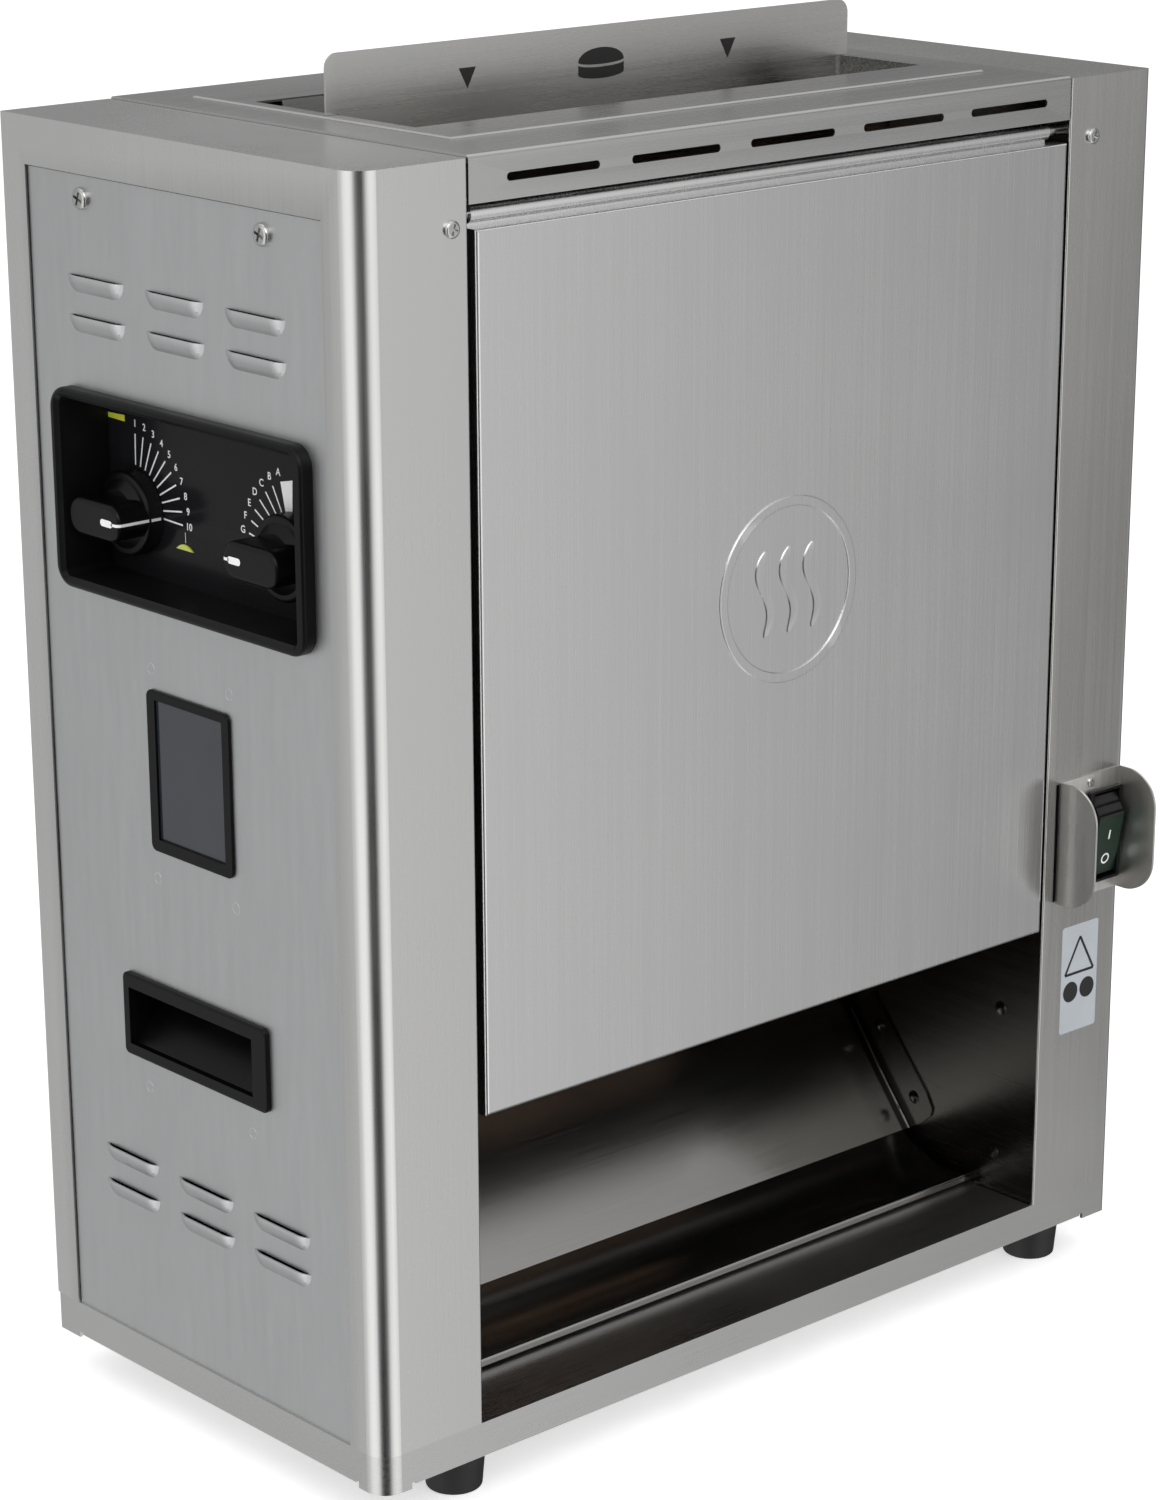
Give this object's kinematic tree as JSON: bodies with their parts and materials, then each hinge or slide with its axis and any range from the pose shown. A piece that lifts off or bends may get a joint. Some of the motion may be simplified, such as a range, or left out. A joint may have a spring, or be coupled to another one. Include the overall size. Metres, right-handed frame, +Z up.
{
  "type": "vertical contact toaster",
  "caption": "Countertop vertical contact toaster that carries bun halves down past a heated platen on belt conveyors and drops them onto a front landing chute.",
  "frame": {"origin": "middle of the whole object's box, at the underside of the feet", "axes": "+Z up; -Y is the front, with the door and the landing chute; -X is the side with the controls"},
  "size_m": [0.4908, 0.287, 0.6345],
  "materials": {
    "stainless_case": "fine brushed grain, satin",
    "panel_steel": "matte, very fine grain",
    "divider_steel": "satin, soft reflections",
    "chute_steel": "brushed, slightly worn",
    "inner_steel": "satin, inside the case",
    "bright_steel": "turned and bright",
    "fasteners": "bright pan heads",
    "cast_aluminium": "machined casting",
    "element_sheath": "heat-tinted sheath",
    "belt_silicone": "matte food belt",
    "roller_steel": "turned",
    "gear_steel": "machined, lightly oiled",
    "gearbox_alloy": "die cast",
    "motor_paint": "semi-matte black",
    "fan_plastic": "moulded",
    "board": "printed board",
    "terminal_plastic": "moulded",
    "black_plastic": "satin moulded",
    "knob_plastic": "satin moulded",
    "dial_face": "satin with printed scale",
    "display_glass": "dark slate window",
    "rocker_green": "translucent green",
    "foot_rubber": "matte"
  },
  "bodies": {
    "case": {"base_tray": "stainless_case", "cable_gland": "black_plastic", "case_screws": "fasteners", "control_bezel": "black_plastic", "control_board": "board", "dial_plate": "dial_face", "display_bezel": "black_plastic", "display_window": "display_glass", "fan_housing": "fan_plastic", "feed_frame": "stainless_case", "feet": "foot_rubber", "gear_motor": "gearbox_alloy", "gear_studs": "bright_steel", "heater_inner": "element_sheath", "heater_outer": "element_sheath", "hinge_rod": "bright_steel", "landing_chute": "chute_steel", "left_housing": "stainless_case", "left_panel": "panel_steel", "left_wall": "inner_steel", "motor_can": "motor_paint", "panel_screws": "fasteners", "platen_front": "cast_aluminium", "platen_rails": "cast_aluminium", "platen_rear": "cast_aluminium", "platen_standoffs": "bright_steel", "pocket_handle_left": "black_plastic", "pocket_handle_right": "black_plastic", "power_switch": "black_plastic", "rear_cover": "stainless_case", "right_housing": "stainless_case", "right_panel": "panel_steel", "right_wall": "inner_steel", "switch_guard": "stainless_case", "terminal_block": "terminal_plastic", "top_cover": "stainless_case"},
    "front_conveyor": {"front_conveyor_plates": "inner_steel", "front_conveyor_ties": "bright_steel", "front_belt": "belt_silicone"},
    "rear_conveyor": {"rear_conveyor_plates": "inner_steel", "rear_conveyor_ties": "bright_steel", "rear_belt": "belt_silicone"},
    "front_drive": {"front_drive_shaft": "roller_steel", "front_drive_gear": "gear_steel"},
    "rear_drive": {"rear_drive_shaft": "roller_steel", "rear_drive_gear": "gear_steel"},
    "front_idler": {"front_idler_shaft": "roller_steel"},
    "rear_idler": {"rear_idler_shaft": "roller_steel"},
    "front_transfer": {"front_transfer_gear": "gear_steel"},
    "rear_transfer": {"rear_transfer_gear": "gear_steel"},
    "motor_output": {"motor_pinion": "gear_steel"},
    "fan": {"fan_rotor": "fan_plastic"},
    "front_knob": {"knob_front": "knob_plastic", "camshaft_front": "bright_steel"},
    "rear_knob": {"knob_rear": "knob_plastic", "camshaft_rear": "bright_steel"},
    "divider": {"divider_plate": "divider_steel"},
    "door": {"front_door": "stainless_case"},
    "power_rocker": {"rocker": "rocker_green", "rocker_grip": "black_plastic"}
  },
  "joints": [
    {"name": "front_drive_spin", "type": "hinge", "parent": "case", "child": "front_drive", "pos_m": [0.0036, -0.0675, 0.237], "axis": [1, 0, 0], "continuous": true},
    {"name": "rear_drive_spin", "type": "hinge", "parent": "case", "child": "rear_drive", "pos_m": [0.0036, 0.0825, 0.237], "axis": [1, 0, 0], "continuous": true},
    {"name": "front_transfer_spin", "type": "hinge", "parent": "case", "child": "front_transfer", "pos_m": [-0.1914, -0.0175, 0.237], "axis": [1, 0, 0], "continuous": true},
    {"name": "rear_transfer_spin", "type": "hinge", "parent": "case", "child": "rear_transfer", "pos_m": [-0.1914, 0.0325, 0.237], "axis": [1, 0, 0], "continuous": true},
    {"name": "motor_spin", "type": "hinge", "parent": "case", "child": "motor_output", "pos_m": [-0.1914, -0.0175, 0.187], "axis": [1, 0, 0], "continuous": true},
    {"name": "fan_spin", "type": "hinge", "parent": "case", "child": "fan", "pos_m": [-0.2044, 0.0655, 0.104], "axis": [1, 0, 0], "continuous": true},
    {"name": "front_conveyor_tilt", "type": "hinge", "parent": "case", "child": "front_conveyor", "pos_m": [0.0036, -0.0675, 0.237], "axis": [-1, 0, 0], "range_deg": [0, 1.6]},
    {"name": "rear_conveyor_tilt", "type": "hinge", "parent": "case", "child": "rear_conveyor", "pos_m": [0.0036, 0.0825, 0.237], "axis": [1, 0, 0], "range_deg": [0, 1.6]},
    {"name": "front_idler_spin", "type": "hinge", "parent": "front_conveyor", "child": "front_idler", "pos_m": [0.0036, -0.0675, 0.542], "axis": [1, 0, 0], "continuous": true},
    {"name": "rear_idler_spin", "type": "hinge", "parent": "rear_conveyor", "child": "rear_idler", "pos_m": [0.0036, 0.0825, 0.542], "axis": [1, 0, 0], "continuous": true},
    {"name": "front_knob_turn", "type": "hinge", "parent": "case", "child": "front_knob", "pos_m": [-0.2294, -0.045, 0.433], "axis": [-1, 0, 0], "range_deg": [-90, 0]},
    {"name": "rear_knob_turn", "type": "hinge", "parent": "case", "child": "rear_knob", "pos_m": [-0.2294, 0.068, 0.433], "axis": [-1, 0, 0], "range_deg": [0, 90]},
    {"name": "divider_lift", "type": "slide", "parent": "case", "child": "divider", "axis": [0, 0, 1], "range_m": [0, 0.06]},
    {"name": "door_swing", "type": "hinge", "parent": "case", "child": "door", "pos_m": [0.0036, -0.1105, 0.5816], "axis": [-1, 0, 0], "range_deg": [0, 60]},
    {"name": "rocker_tilt", "type": "hinge", "parent": "case", "child": "power_rocker", "pos_m": [0.2291, -0.1125, 0.2287], "axis": [-1, 0, 0], "range_deg": [0, 14]}
  ],
  "couplings": [
    {"joint": "rear_drive_spin", "follows": "front_drive_spin", "ratio": -1},
    {"joint": "front_transfer_spin", "follows": "front_drive_spin", "ratio": -1},
    {"joint": "rear_transfer_spin", "follows": "front_drive_spin", "ratio": 1},
    {"joint": "motor_spin", "follows": "front_drive_spin", "ratio": 1},
    {"joint": "front_idler_spin", "follows": "front_drive_spin", "ratio": 1},
    {"joint": "rear_idler_spin", "follows": "front_drive_spin", "ratio": -1},
    {"joint": "front_knob_turn", "follows": "front_conveyor_tilt", "ratio": -56.25},
    {"joint": "rear_knob_turn", "follows": "rear_conveyor_tilt", "ratio": 56.25}
  ]
}
